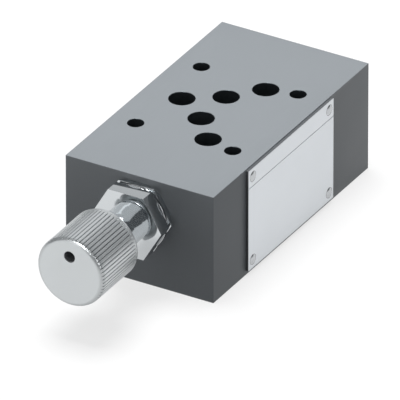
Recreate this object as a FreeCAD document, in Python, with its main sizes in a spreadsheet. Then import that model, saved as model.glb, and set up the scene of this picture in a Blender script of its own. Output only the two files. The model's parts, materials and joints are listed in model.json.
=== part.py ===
import FreeCAD, Part
import os
import re
import Sketcher

# Hydraulic sandwich valve with a pressure relief cartridge and an adjusting knob.
# The origin is the middle of the four mounting holes, on the underside of the block.
# +X points to the nameplate side, +Y along the block away from the knob, +Z up.

# Driving dimensions in millimetres
SIZES = {
    # Block and its port pattern, which is the ISO 4401-05 one
    "block_width": 70.0,
    "block_length": 128.5,
    "block_height": 50.0,
    "left_margin": 34.6,
    "bolt_span_across": 46.0,
    "bolt_span_along": 54.0,
    "bolt_hole_diameter": 7.0,
    "port_diameter": 11.2,
    "pressure_port_across": 16.7,
    "work_port_across": 1.6,
    "work_port_along": 10.3,
    "tank_port_across": 9.5,
    "tank_port_along": 23.8,
    "port_seal_width": 2.4,
    "port_seal_margin": 0.4,
    "port_seal_recess": 1.4,
    "port_seal_bevel": 0.6,
    # Clearances that the pieces share
    "fit_gap": 0.05,
    "seal_gap": 0.05,
    "running_gap": 0.3,
    # Axis of the cartridge in the block
    "axis_across": 0.4,
    "axis_height": 32.7,
    # Cartridge body with its rear hexagon
    "hex_across_flats": 29.0,
    "rear_hex_thickness": 2.8,
    "hex_corner_margin": 0.3,
    "neck_relief_radius": 10.6,
    "flange_seal_cord": 2.3,
    "cartridge_thread_radius": 11.0,
    "thread_depth": 19.0,
    "thread_runout": 1.0,
    "outlet_radius": 9.8,
    "shoulder_radius": 9.0,
    "shoulder_length": 11.0,
    "tail_radius": 7.0,
    "tip_gap": 0.15,
    "bore_overrun": 0.4,
    "supply_radius": 3.0,
    "nose_bore_length": 4.6,
    "nose_land": 0.9,
    "nose_seal_cord": 1.25,
    "backup_ring_width": 1.0,
    "outlet_hole_radius": 1.7,
    "outlet_hole_setback": 2.6,
    # Seat, poppet and its spring plate
    "seat_radius": 5.0,
    "seat_length": 6.5,
    "seat_setback": 1.0,
    "seat_hole_radius": 2.0,
    "guide_radius": 4.2,
    "guide_length": 12.0,
    "poppet_stem_radius": 3.0,
    "poppet_stem_length": 5.2,
    "poppet_tip_radius": 0.8,
    "poppet_projection": 1.0,
    "plate_gap": 0.3,
    "plate_thickness": 1.6,
    "spigot_radius": 3.3,
    "spigot_length": 2.0,
    # Spring
    "spring_radius": 4.4,
    "spring_wire": 1.8,
    "spring_turns": 7.5,
    # Spring housing with the front hexagon, the neck and the collar in the knob
    "washer_thickness": 1.5,
    "washer_radius": 15.1,
    "front_hex_thickness": 6.9,
    "neck_radius": 8.75,
    "neck_length": 7.5,
    "collar_radius": 9.7,
    "collar_cover": 8.0,
    "housing_thread_radius": 8.0,
    "housing_spigot_length": 9.0,
    "housing_seal_cord": 1.3,
    "chamber_radius": 5.8,
    # Setting piston, thrust ball and spindle
    "piston_length": 9.0,
    "piston_seal_cord": 1.5,
    "ball_radius": 2.0,
    "ball_pocket": 1.2,
    "spindle_thread_radius": 5.0,
    "spindle_shank_radius": 4.0,
    "spindle_engagement": 14.0,
    "spindle_end_length": 3.5,
    "stop_ring_thickness": 1.0,
    "stop_ring_depth": 0.8,
    "setting_travel": 5.0,
    "end_space": 1.5,
    # Knob
    "knob_distance": 28.0,
    "knob_length": 28.6,
    "knob_radius": 15.0,
    "knob_front_rounding": 1.4,
    "knob_rear_rounding": 0.4,
    "knob_face_thickness": 3.8,
    "ridge_count": 60,
    "ridge_height": 0.6,
    "ridge_crest": 0.35,
    "ridge_rear_band": 1.5,
    "ridge_rear_taper": 2.5,
    "ridge_front_band": 1.7,
    "ridge_front_taper": 0.7,
    "face_hole_radius": 2.5,
    "face_hole_offset": 7.6,
    "face_hole_depth": 8.0,
    "grub_screw_radius": 2.5,
    "grub_screw_length": 6.0,
    "grub_socket_flats": 2.5,
    "grub_socket_depth": 2.6,
    # Nameplate and rivets on the right side of the block
    "name_plate_length": 70.4,
    "name_plate_height": 47.3,
    "name_plate_thickness": 1.4,
    "name_plate_shift": 2.7,
    "name_plate_lift": 2.2,
    "plate_line_drop": 8.3,
    "plate_line_width": 0.35,
    "plate_line_depth": 0.2,
    "rivet_margin_along": 3.6,
    "rivet_margin_up": 4.0,
    "rivet_shank_radius": 1.5,
    "rivet_shank_length": 6.0,
    "rivet_head_radius": 2.3,
    "rivet_head_height": 0.64,
}

HEX_SIDES = 6
WIRE_SIDES = 8
SAME_PLACE = 0.001

# Places along the cartridge axis, measured inwards from the front face of the block
REACH = "(block_length / 2 - work_port_along - port_diameter / 2)"
TIP = f"({REACH} - tip_gap)"
NOSE_BORE_START = f"({TIP} - nose_bore_length)"
NOSE_GROOVE_END = f"({TIP} - nose_land)"
NOSE_GROOVE_WIDTH = "(nose_seal_cord + backup_ring_width + 3 * seal_gap)"
NOSE_GROOVE_START = f"({NOSE_GROOVE_END} - {NOSE_GROOVE_WIDTH})"
FLANGE_RECESS_DEPTH = "(flange_seal_cord + seal_gap)"
THREAD_START = f"({FLANGE_RECESS_DEPTH} + fit_gap)"
SEAT_END = f"({TIP} - seat_setback)"
SEAT_FACE = f"({SEAT_END} - seat_length)"
CHAMBER_FLOOR = f"({SEAT_FACE} - guide_length)"
PLATE_BACK = f"({CHAMBER_FLOOR} - poppet_projection)"
PLATE_FRONT = f"({PLATE_BACK} - plate_thickness)"
WASHER_FRONT = "(-rear_hex_thickness - washer_thickness)"
HOUSING_HEX_FRONT = f"({WASHER_FRONT} - front_hex_thickness)"
COLLAR_START = f"({HOUSING_HEX_FRONT} - neck_length)"
KNOB_REAR = "(-knob_distance)"
KNOB_FRONT = f"({KNOB_REAR} - knob_length)"
COLLAR_END = f"({KNOB_REAR} - collar_cover)"
CHAMBER_SHOULDER = f"({COLLAR_END} + spindle_engagement)"
KNOB_FLOOR = f"({COLLAR_END} - setting_travel - end_space)"
SPINDLE_END = f"({CHAMBER_SHOULDER} + spindle_end_length)"
BALL_CENTRE = f"({SPINDLE_END} - ball_pocket + ball_radius + seal_gap)"
PISTON_FRONT = f"({BALL_CENTRE} + ball_radius + seal_gap - ball_pocket)"
PISTON_BACK = f"({PISTON_FRONT} + piston_length)"
SHANK_END = f"({KNOB_FRONT} + knob_face_thickness)"

# Radii that follow from what a piece fits into
THREAD_BORE = "(cartridge_thread_radius + fit_gap)"
NOSE_BORE = "(tail_radius + fit_gap)"
NOSE_GROOVE_FLOOR = f"({NOSE_BORE} - nose_seal_cord - 2 * seal_gap)"
FLANGE_RECESS_RADIUS = "(neck_relief_radius + flange_seal_cord + 2 * seal_gap)"
HOUSING_BORE = "(housing_thread_radius + fit_gap)"
HOUSING_GROOVE_FLOOR = f"({HOUSING_BORE} - housing_seal_cord - 2 * seal_gap)"
PISTON_GROOVE_FLOOR = "(chamber_radius - piston_seal_cord - 2 * seal_gap)"
HEX_CORNER = "(hex_across_flats / sqrt(3))"
CREST_RADIUS = "(knob_radius + ridge_height)"

doc = FreeCAD.newDocument("sandwich_valve")
sheet = doc.addObject("Spreadsheet::Sheet", "Sizes")
for row, (alias, number) in enumerate(SIZES.items(), start=1):
    sheet.set(f"A{row}", alias)
    sheet.set(f"B{row}", str(number))
    sheet.setAlias(f"B{row}", alias)
doc.recompute()


def tied(text):
    """An expression in which every size's name is looked up in the sheet."""
    return re.sub(r"[a-z_]+", lambda word: tie_word(word.group()), text)


def tie_word(word):
    return f"Sizes.{word}" if word in SIZES else word


def bind(thing, **properties):
    """Tie properties of an object to sizes."""
    for name, text in properties.items():
        thing.setExpression(name, tied(text))


def move_to(thing, across, along, up):
    """Tie the place of a sub-part to sizes."""
    for letter, text in zip("xyz", (across, along, up)):
        thing.setExpression(f"Placement.Base.{letter}", tied(text))


def put_on_axis(thing, depth="0"):
    """Place a sub-part on the cartridge axis, at a depth inside the front face."""
    move_to(thing, "axis_across", f"{depth} - block_length / 2", "axis_height")


def new_body(name, on_axis=True):
    body = doc.addObject("PartDesign::Body", name)
    body.Label = name
    if on_axis:
        put_on_axis(body)
    return body


def new_sketch(body, name, plane="XY_Plane", shift=("0", "0", "0")):
    """A sketch on one of the body's own planes, moved by tied distances in that plane."""
    sketch = body.newObject("Sketcher::SketchObject", name)
    support = next(item for item in body.Origin.OriginFeatures if item.Role == plane)
    sketch.AttachmentSupport = (support, [""])
    sketch.MapMode = "FlatFace"
    for letter, text in zip("xyz", shift):
        if text != "0":
            sketch.setExpression(f"AttachmentOffset.Base.{letter}", tied(text))
    return sketch


def pin_point(sketch, piece, point, across, up):
    """Hold one point of a sketch at tied distances from the sketch's origin."""
    for kind, axis_line, text in (("DistanceX", -2, across), ("DistanceY", -1, up)):
        if text == "0":
            sketch.addConstraint(Sketcher.Constraint("PointOnObject", piece, point, axis_line))
        else:
            held = sketch.addConstraint(Sketcher.Constraint(kind, -1, 1, piece, point, 1.0))
            sketch.setExpression(f"Constraints[{held}]", tied(text))


def draw_outline(sketch, corners):
    """A closed outline of straight lines through corners, each a pair of expressions."""
    first = sketch.GeometryCount
    count = len(corners)
    spots = [
        FreeCAD.Rotation(FreeCAD.Vector(0, 0, 1), 360 * step / count).multVec(FreeCAD.Vector(1, 0, 0))
        for step in range(count)
    ]
    for step in range(count):
        sketch.addGeometry(Part.LineSegment(spots[step], spots[(step + 1) % count]))
    for step in range(count):
        following = first + (step + 1) % count
        sketch.addConstraint(Sketcher.Constraint("Coincident", first + step, 2, following, 1))
    for step, (across, up) in enumerate(corners):
        pin_point(sketch, first + step, 1, across, up)


def draw_circle(sketch, radius, across="0", up="0"):
    piece = sketch.addGeometry(Part.Circle(FreeCAD.Vector(1, 1, 0), FreeCAD.Vector(0, 0, 1), 1.0))
    pin_point(sketch, piece, 3, across, up)
    held = sketch.addConstraint(Sketcher.Constraint("Radius", piece, 1.0))
    sketch.setExpression(f"Constraints[{held}]", tied(radius))


def draw_box(sketch, low, high):
    """A rectangle between two opposite corners."""
    draw_outline(sketch, [low, (high[0], low[1]), high, (low[0], high[1])])


def hexagon(flats):
    """Corners of a hexagon with two corners on the sketch's own X axis."""
    radius = f"{flats} / sqrt(3)"
    turns = [360 * side / HEX_SIDES for side in range(HEX_SIDES)]
    return [(f"{radius} * cos({turn})", f"{radius} * sin({turn})") for turn in turns]


def turn(body, name, corners):
    """Material turned about the body's Y axis from an outline of radius and depth."""
    sketch = new_sketch(body, f"{name}_outline")
    draw_outline(sketch, corners)
    feature = body.newObject("PartDesign::Revolution", name)
    feature.Profile = sketch
    feature.ReferenceAxis = (sketch, ["V_Axis"])
    doc.recompute()
    return sketch, feature


def cut_away(body, feature):
    """Recompute a cut and make sure that it took material away."""
    before = body.Tip.BaseFeature.Shape.Volume
    doc.recompute()
    if not feature.Shape.Volume < before:
        raise RuntimeError(f"{body.Label}: {feature.Label} cuts nothing")
    return feature


def bore(body, name, corners, shift=("0", "0", "0")):
    """Material turned away about the Y axis of a sketch that lies level in the body."""
    sketch = new_sketch(body, f"{name}_outline", shift=shift)
    draw_outline(sketch, corners)
    feature = body.newObject("PartDesign::Groove", name)
    feature.Profile = sketch
    feature.ReferenceAxis = (sketch, ["V_Axis"])
    return cut_away(body, feature)


def pad(body, name, sketch, length):
    feature = body.newObject("PartDesign::Pad", name)
    feature.Profile = sketch
    bind(feature, Length=length)
    doc.recompute()
    return feature


def pocket(body, name, sketch, length=None, forwards=False, both_ways=False):
    """A cut against the sketch's normal, or along it, to a depth or right through."""
    feature = body.newObject("PartDesign::Pocket", name)
    feature.Profile = sketch
    feature.Reversed = forwards
    if both_ways:
        feature.SideType = "Symmetric"
    if length is None:
        feature.Type = "ThroughAll"
    else:
        bind(feature, Length=length)
    return cut_away(body, feature)


def round_corners(body, name, turned, corners, radius):
    """Round the edges that the numbered corners of a turned outline make."""
    sketch, _ = turned
    base = body.Tip
    places = [sketch.Geometry[corner].StartPoint for corner in corners]
    edges = []
    for index, edge in enumerate(base.Shape.Edges, start=1):
        curve = edge.Curve
        if not isinstance(curve, Part.Circle):
            continue
        for place in places:
            off_radius = abs(curve.Radius - place.x)
            off_depth = abs(curve.Center.y - place.y)
            if off_radius < SAME_PLACE and off_depth < SAME_PLACE:
                edges.append(f"Edge{index}")
    fillet = body.newObject("PartDesign::Fillet", name)
    fillet.Base = (base, edges)
    bind(fillet, Radius=radius)
    doc.recompute()


def seal_ring(name, inner_radius, cord, middle_depth):
    """A round cord ring about the cartridge axis."""
    ring = doc.addObject("Part::Torus", name)
    ring.Label = name
    bind(ring, Radius1=f"{inner_radius} + {cord} / 2", Radius2=f"{cord} / 2")
    ring.Placement = FreeCAD.Placement(FreeCAD.Vector(), FreeCAD.Rotation(FreeCAD.Vector(1, 0, 0), 90))
    put_on_axis(ring, middle_depth)
    return ring


def port_places():
    """Middles of the ports P, A, B, T and T1."""
    return [
        ("-pressure_port_across", "0"),
        ("-work_port_across", "-work_port_along"),
        ("-work_port_across", "work_port_along"),
        ("tank_port_across", "-tank_port_along"),
        ("tank_port_across", "tank_port_along"),
    ]


def rivet_places():
    """Middles of the plate's rivets along and up the right side."""
    reach_along = "(name_plate_length / 2 - rivet_margin_along)"
    reach_up = "(name_plate_height / 2 - rivet_margin_up)"
    level = "(name_plate_lift + name_plate_height / 2)"
    return [
        (f"{along} * {reach_along} - name_plate_shift", f"{level} + {up} * {reach_up}")
        for along in (-1, 1)
        for up in (-1, 1)
    ]


def make_valve_block():
    body = new_body("valve_block", on_axis=False)
    base = new_sketch(body, "footprint")
    right = "block_width - left_margin"
    draw_box(base, ("-left_margin", "-block_length / 2"), (right, "block_length / 2"))
    pad(body, "block", base, "block_height")

    holes = new_sketch(body, "mounting_holes_plan")
    for across in (-1, 1):
        for along in (-1, 1):
            middle = (f"{across} * bolt_span_across / 2", f"{along} * bolt_span_along / 2")
            draw_circle(holes, "bolt_hole_diameter / 2", *middle)
    pocket(body, "mounting_holes", holes, forwards=True)

    ports = new_sketch(body, "ports_plan")
    recesses = new_sketch(body, "seal_recesses_plan")
    for middle in port_places():
        draw_circle(ports, "port_diameter / 2", *middle)
        draw_circle(recesses, "port_diameter / 2 + port_seal_width", *middle)
    pocket(body, "ports", ports, forwards=True)
    pocket(body, "seal_recesses", recesses, "port_seal_recess", forwards=True)

    nose_end = f"{REACH} + bore_overrun"
    outlet_start = "thread_depth + thread_runout"
    cavity = [
        ("0", "0"),
        (FLANGE_RECESS_RADIUS, "0"),
        (FLANGE_RECESS_RADIUS, FLANGE_RECESS_DEPTH),
        (THREAD_BORE, FLANGE_RECESS_DEPTH),
        (THREAD_BORE, outlet_start),
        ("outlet_radius", f"{outlet_start} + {THREAD_BORE} - outlet_radius"),
        ("outlet_radius", NOSE_BORE_START),
        (NOSE_BORE, NOSE_BORE_START),
        (NOSE_BORE, nose_end),
        ("supply_radius", nose_end),
        ("supply_radius", f"{REACH} + port_diameter / 2"),
        ("0", f"{REACH} + port_diameter / 2"),
    ]
    bore(body, "cartridge_cavity", cavity, shift=("axis_across", "-block_length / 2", "axis_height"))

    rivet_holes = new_sketch(body, "rivet_holes_plan", "YZ_Plane", ("0", "0", right))
    for middle in rivet_places():
        draw_circle(rivet_holes, "rivet_shank_radius + fit_gap", *middle)
    depth = "rivet_shank_length - name_plate_thickness + running_gap"
    pocket(body, "rivet_holes", rivet_holes, depth)
    return body


def make_port_seals():
    """Five rings squeezed flush with the underside, as they sit when the block is bolted down."""
    body = new_body("port_o_rings", on_axis=False)
    body.AllowCompound = True
    plan = new_sketch(body, "rings_plan")
    for middle in port_places():
        draw_circle(plan, "port_diameter / 2 + port_seal_margin", *middle)
        draw_circle(plan, "port_diameter / 2 + port_seal_width - seal_gap", *middle)
    rings = pad(body, "rings", plan, "port_seal_recess - seal_gap")
    bevel = body.newObject("PartDesign::Chamfer", "ring_bevel")
    bevel.Base = (rings, ["Face1"])
    bevel.UseAllEdges = True
    bind(bevel, Size="port_seal_bevel")
    doc.recompute()
    return body


def make_cartridge_body():
    """Rear hexagon, threaded shank and tail, turned from one bar."""
    body = new_body("cartridge_body")
    tail_start = "thread_depth + shoulder_length"
    outside = [
        ("0", "-rear_hex_thickness"),
        ("neck_relief_radius", "-rear_hex_thickness"),
        ("neck_relief_radius", THREAD_START),
        ("cartridge_thread_radius", f"{THREAD_START} + cartridge_thread_radius - neck_relief_radius"),
        ("cartridge_thread_radius", "thread_depth"),
        ("shoulder_radius", "thread_depth + cartridge_thread_radius - shoulder_radius"),
        ("shoulder_radius", tail_start),
        ("tail_radius", f"{tail_start} + shoulder_radius - tail_radius"),
        ("tail_radius", NOSE_GROOVE_START),
        (NOSE_GROOVE_FLOOR, NOSE_GROOVE_START),
        (NOSE_GROOVE_FLOOR, NOSE_GROOVE_END),
        ("tail_radius", NOSE_GROOVE_END),
        ("tail_radius", TIP),
        ("0", TIP),
    ]
    turn(body, "shank", outside)

    plan = new_sketch(body, "hexagon_plan", "XZ_Plane")
    draw_outline(plan, hexagon("hex_across_flats"))
    pad(body, "hexagon", plan, "rear_hex_thickness")
    corner_start = "hex_across_flats / 2 + hex_corner_margin"
    beyond = f"{HEX_CORNER} + 1"
    corners = [(corner_start, "0"), (beyond, "0"), (beyond, f"{corner_start} - {beyond}")]
    bore(body, "hexagon_corners", corners)

    inside = [
        ("0", "-rear_hex_thickness"),
        (HOUSING_BORE, "-rear_hex_thickness"),
        (HOUSING_BORE, "housing_spigot_length + running_gap"),
        ("chamber_radius", "housing_spigot_length + running_gap"),
        ("chamber_radius", CHAMBER_FLOOR),
        ("guide_radius", CHAMBER_FLOOR),
        ("guide_radius", SEAT_FACE),
        ("seat_radius", SEAT_FACE),
        ("seat_radius", TIP),
        ("0", TIP),
    ]
    bore(body, "inside", inside)

    for plane, side in (("XY_Plane", ("0", f"{SEAT_FACE} - outlet_hole_setback")),
                        ("YZ_Plane", (f"{SEAT_FACE} - outlet_hole_setback", "0"))):
        plan = new_sketch(body, "outlet_holes_plan", plane)
        draw_circle(plan, "outlet_hole_radius", *side)
        pocket(body, "outlet_holes", plan, "2 * shoulder_radius", both_ways=True)
    return body


def make_valve_seat():
    body = new_body("valve_seat")
    outer = "seat_radius - fit_gap"
    ring = [
        ("seat_hole_radius", SEAT_FACE),
        (outer, SEAT_FACE),
        (outer, SEAT_END),
        ("seat_hole_radius", SEAT_END),
    ]
    turn(body, "ring", ring)
    return body


def make_poppet():
    body = new_body("poppet")
    land = "guide_radius - fit_gap"
    land_end = f"({SEAT_FACE} - poppet_stem_length)"
    cone_start = f"({SEAT_FACE} - poppet_stem_radius + seat_hole_radius - 2 * seal_gap)"
    shape = [
        ("0", PLATE_BACK),
        (land, PLATE_BACK),
        (land, land_end),
        ("poppet_stem_radius", land_end),
        ("poppet_stem_radius", cone_start),
        ("poppet_tip_radius", f"{cone_start} + poppet_stem_radius - poppet_tip_radius"),
        ("0", f"{cone_start} + poppet_stem_radius - poppet_tip_radius"),
    ]
    turn(body, "cone", shape)
    return body


def make_spring_plate():
    body = new_body("spring_plate")
    disc = [
        ("0", f"{PLATE_FRONT} - spigot_length"),
        ("spigot_radius", f"{PLATE_FRONT} - spigot_length"),
        ("spigot_radius", PLATE_FRONT),
        ("chamber_radius - plate_gap", PLATE_FRONT),
        ("chamber_radius - plate_gap", PLATE_BACK),
        ("0", PLATE_BACK),
    ]
    turn(body, "disc", disc)
    return body


def make_pressure_spring():
    body = new_body("pressure_spring")
    section = new_sketch(body, "wire_section")
    middle = f"{PISTON_BACK} + spring_wire / 2 + seal_gap"
    turns = [360 * (side + 0.5) / WIRE_SIDES for side in range(WIRE_SIDES)]
    corners = [
        (f"spring_radius + spring_wire / 2 * cos({turn})", f"{middle} + spring_wire / 2 * sin({turn})")
        for turn in turns
    ]
    draw_outline(section, corners)
    coils = body.newObject("PartDesign::AdditiveHelix", "coils")
    coils.Profile = section
    coils.ReferenceAxis = (section, ["V_Axis"])
    coils.Mode = "height-turns-angle"
    bind(coils, Height=f"{PLATE_FRONT} - {PISTON_BACK} - spring_wire - 2 * seal_gap", Turns="spring_turns")
    doc.recompute()
    return body


def make_spring_housing():
    """Front hexagon with the bright neck and collar in front and a threaded spigot behind."""
    body = new_body("spring_housing")
    groove_end = "housing_spigot_length - 2 * housing_seal_cord + housing_seal_cord"
    groove_start = "housing_spigot_length - 2 * housing_seal_cord - 2 * seal_gap"
    outside = [
        ("0", COLLAR_END),
        ("collar_radius", COLLAR_END),
        ("collar_radius", COLLAR_START),
        ("neck_radius", COLLAR_START),
        ("neck_radius", WASHER_FRONT),
        ("housing_thread_radius", WASHER_FRONT),
        ("housing_thread_radius", groove_start),
        (HOUSING_GROOVE_FLOOR, groove_start),
        (HOUSING_GROOVE_FLOOR, groove_end),
        ("housing_thread_radius", groove_end),
        ("housing_thread_radius", "housing_spigot_length"),
        ("0", "housing_spigot_length"),
    ]
    turn(body, "stem", outside)

    plan = new_sketch(body, "hexagon_plan", "XZ_Plane", ("0", "0", f"-{WASHER_FRONT}"))
    draw_outline(plan, hexagon("hex_across_flats"))
    pad(body, "hexagon", plan, "front_hex_thickness")

    spindle_bore = "spindle_thread_radius + fit_gap"
    inside = [
        ("0", COLLAR_END),
        (spindle_bore, COLLAR_END),
        (spindle_bore, CHAMBER_SHOULDER),
        ("chamber_radius", CHAMBER_SHOULDER),
        ("chamber_radius", "housing_spigot_length"),
        ("0", "housing_spigot_length"),
    ]
    bore(body, "inside", inside)
    return body


def make_sealing_washer():
    body = new_body("sealing_washer")
    inner = "housing_thread_radius + running_gap"
    ring = [
        (inner, WASHER_FRONT),
        ("washer_radius", WASHER_FRONT),
        ("washer_radius", "-rear_hex_thickness"),
        (inner, "-rear_hex_thickness"),
    ]
    turn(body, "ring", ring)
    return body


def make_backup_ring():
    body = new_body("nose_backup_ring")
    back = f"{NOSE_GROOVE_START} + seal_gap + backup_ring_width"
    inner = f"{NOSE_GROOVE_FLOOR} + seal_gap"
    outer = f"{NOSE_BORE} - seal_gap"
    front = f"{NOSE_GROOVE_START} + seal_gap"
    turn(body, "ring", [(inner, front), (outer, front), (outer, back), (inner, back)])
    return body


def make_setting_piston():
    body = new_body("setting_piston")
    outer = "chamber_radius - fit_gap"
    groove_middle = f"({PISTON_BACK} - piston_length / 2)"
    groove_half = "(piston_seal_cord / 2 + seal_gap)"
    pocket_radius = "ball_radius + seal_gap"
    pocket_floor = f"{PISTON_FRONT} + ball_pocket"
    shape = [
        ("0", pocket_floor),
        (pocket_radius, pocket_floor),
        (pocket_radius, PISTON_FRONT),
        (outer, PISTON_FRONT),
        (outer, f"{groove_middle} - {groove_half}"),
        (PISTON_GROOVE_FLOOR, f"{groove_middle} - {groove_half}"),
        (PISTON_GROOVE_FLOOR, f"{groove_middle} + {groove_half}"),
        (outer, f"{groove_middle} + {groove_half}"),
        (outer, PISTON_BACK),
        ("spigot_radius", PISTON_BACK),
        ("spigot_radius", f"{PISTON_BACK} + spigot_length"),
        ("0", f"{PISTON_BACK} + spigot_length"),
    ]
    turn(body, "piston", shape)
    return body


def make_thrust_ball():
    ball = doc.addObject("Part::Sphere", "thrust_ball")
    ball.Label = "thrust_ball"
    bind(ball, Radius="ball_radius")
    put_on_axis(ball, BALL_CENTRE)
    return ball


def make_spindle():
    body = new_body("adjusting_spindle")
    pocket_radius = "ball_radius + seal_gap"
    pocket_floor = f"{SPINDLE_END} - ball_pocket"
    ring_start = f"({CHAMBER_SHOULDER} + running_gap)"
    ring_floor = "spindle_thread_radius - stop_ring_depth"
    shape = [
        ("0", SHANK_END),
        ("spindle_shank_radius", SHANK_END),
        ("spindle_shank_radius", KNOB_FLOOR),
        ("spindle_thread_radius", KNOB_FLOOR),
        ("spindle_thread_radius", f"{ring_start} - seal_gap"),
        (ring_floor, f"{ring_start} - seal_gap"),
        (ring_floor, f"{ring_start} + stop_ring_thickness + seal_gap"),
        ("spindle_thread_radius", f"{ring_start} + stop_ring_thickness + seal_gap"),
        ("spindle_thread_radius", SPINDLE_END),
        (pocket_radius, SPINDLE_END),
        (pocket_radius, pocket_floor),
        ("0", pocket_floor),
    ]
    turn(body, "screw", shape)
    return body


def make_stop_ring():
    """Open ring that keeps the spindle from being screwed out."""
    body = new_body("spindle_stop_ring")
    front = f"{CHAMBER_SHOULDER} + running_gap"
    inner = "spindle_thread_radius - stop_ring_depth + seal_gap"
    outer = "chamber_radius - running_gap"
    back = f"{front} + stop_ring_thickness"
    turn(body, "ring", [(inner, front), (outer, front), (outer, back), (inner, back)])
    gap = new_sketch(body, "gap_plan", "XZ_Plane", ("0", "0", f"-({CHAMBER_SHOULDER})"))
    half = "stop_ring_thickness"
    draw_box(gap, (f"-{half}", "0"), (half, "chamber_radius"))
    pocket(body, "gap", gap, "2 * stop_ring_thickness + 2 * running_gap")
    return body


def make_knob():
    """Knob with straight ridges, hollow behind so that it slides over the collar."""
    body = new_body("knob")
    outside = [
        ("0", KNOB_FRONT),
        ("knob_radius", KNOB_FRONT),
        ("knob_radius", f"{KNOB_FRONT} + ridge_front_band"),
        (CREST_RADIUS, f"{KNOB_FRONT} + ridge_front_band + ridge_front_taper"),
        (CREST_RADIUS, f"{KNOB_REAR} - ridge_rear_band - ridge_rear_taper"),
        ("knob_radius", f"{KNOB_REAR} - ridge_rear_band"),
        ("knob_radius", KNOB_REAR),
        ("0", KNOB_REAR),
    ]
    blank = turn(body, "blank", outside)
    round_corners(body, "front_rim", blank, [1], "knob_front_rounding")
    round_corners(body, "rear_rim", blank, [6], "knob_rear_rounding")

    # Each valley between two ridges is a V that stops just above the smooth bands
    start = ("0", "0", "knob_distance + knob_length + 1")
    valley = new_sketch(body, "valley_section", "XZ_Plane", start)
    floor = "knob_radius + seal_gap"
    top = f"{CREST_RADIUS} + ridge_height"
    pitch = f"2 * pi * {CREST_RADIUS} / ridge_count"
    half = f"({pitch} - ridge_crest) * (2 * ridge_height - seal_gap) / (2 * (ridge_height - seal_gap))"
    draw_outline(valley, [("0", floor), (half, top), (f"-{half}", top)])
    first_valley = pocket(body, "valley", valley)
    valleys = body.newObject("PartDesign::PolarPattern", "valleys")
    valleys.Originals = [first_valley]
    valleys.Axis = (valley, ["N_Axis"])
    valleys.Angle = 360
    bind(valleys, Occurrences="ridge_count")
    body.Tip = valleys
    doc.recompute()

    collar_space = "collar_radius + running_gap"
    shank_space = "spindle_shank_radius + fit_gap"
    shank_floor = f"{SHANK_END} - seal_gap"
    inside = [
        ("0", KNOB_REAR),
        (collar_space, KNOB_REAR),
        (collar_space, KNOB_FLOOR),
        (shank_space, KNOB_FLOOR),
        (shank_space, shank_floor),
        ("0", shank_floor),
    ]
    bore(body, "inside", inside)

    face = new_sketch(body, "face_hole_plan", "XZ_Plane", ("0", "0", f"-{KNOB_FRONT}"))
    draw_circle(face, "face_hole_radius", "0", "face_hole_offset")
    pocket(body, "face_hole", face, "face_hole_depth")

    side = new_sketch(body, "grub_hole_plan")
    draw_circle(side, "grub_screw_radius + fit_gap", "0", f"({KNOB_FLOOR} + {SHANK_END}) / 2")
    pocket(body, "grub_hole", side)
    return body


def make_grub_screw():
    """Socket set screw that holds the knob on the spindle, in the knob's underside."""
    screw = doc.addObject("PartDesign::Body", "knob_grub_screw")
    screw.Label = "knob_grub_screw"
    plan = new_sketch(screw, "thread_plan")
    draw_circle(plan, "grub_screw_radius")
    pad(screw, "thread", plan, "grub_screw_length")
    socket = new_sketch(screw, "socket_plan")
    draw_outline(socket, hexagon("grub_socket_flats"))
    pocket(screw, "socket", socket, "grub_socket_depth", forwards=True)
    top = "spindle_shank_radius + seal_gap + grub_screw_length"
    depth = f"({KNOB_FLOOR} + {SHANK_END}) / 2 - block_length / 2"
    move_to(screw, "axis_across", depth, f"axis_height - ({top})")
    return screw


def make_name_plate():
    """Bare plate with one engraved line under its top edge."""
    body = new_body("name_plate", on_axis=False)
    right = "block_width - left_margin"
    plan = new_sketch(body, "plate_plan", "YZ_Plane", ("0", "0", right))
    low = ("-name_plate_length / 2 - name_plate_shift", "name_plate_lift")
    high = ("name_plate_length / 2 - name_plate_shift", "name_plate_lift + name_plate_height")
    draw_box(plan, low, high)
    pad(body, "plate", plan, "name_plate_thickness")

    holes = new_sketch(body, "rivet_holes_plan", "YZ_Plane", ("0", "0", right))
    for middle in rivet_places():
        draw_circle(holes, "rivet_shank_radius + fit_gap", *middle)
    pocket(body, "rivet_holes", holes, forwards=True)

    outer_face = ("0", "0", f"{right} + name_plate_thickness")
    line = new_sketch(body, "line_plan", "YZ_Plane", outer_face)
    line_top = f"{high[1]} - plate_line_drop"
    draw_box(line, (low[0], f"{line_top} - plate_line_width"), (high[0], line_top))
    pocket(body, "line", line, "plate_line_depth")
    return body


def make_plate_rivets():
    """Four round-head drive rivets, each a domed head on a plain shank."""
    face = "block_width - left_margin + name_plate_thickness"
    dome = "((rivet_head_radius ^ 2 + rivet_head_height ^ 2) / (2 * rivet_head_height))"
    sideways = FreeCAD.Rotation(FreeCAD.Vector(0, 1, 0), 90)
    rivets = []
    for number, (along, up) in enumerate(rivet_places(), start=1):
        head = doc.addObject("Part::Sphere", f"rivet_head_{number}")
        bind(head, Radius=dome, Angle1=f"asin(1 - rivet_head_height / {dome})")
        head.Placement = FreeCAD.Placement(FreeCAD.Vector(), sideways)
        move_to(head, f"{face} + rivet_head_height - {dome}", along, up)
        shank = doc.addObject("Part::Cylinder", f"rivet_shank_{number}")
        bind(shank, Radius="rivet_shank_radius", Height="rivet_shank_length")
        shank.Placement = FreeCAD.Placement(FreeCAD.Vector(), sideways)
        move_to(shank, f"{face} - rivet_shank_length", along, up)
        rivet = doc.addObject("Part::Fuse", f"rivet_{number}")
        rivet.Base = head
        rivet.Tool = shank
        rivets.append(rivet)
    group = doc.addObject("Part::Compound", "plate_rivets")
    group.Label = "plate_rivets"
    group.Links = rivets
    return group


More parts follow.
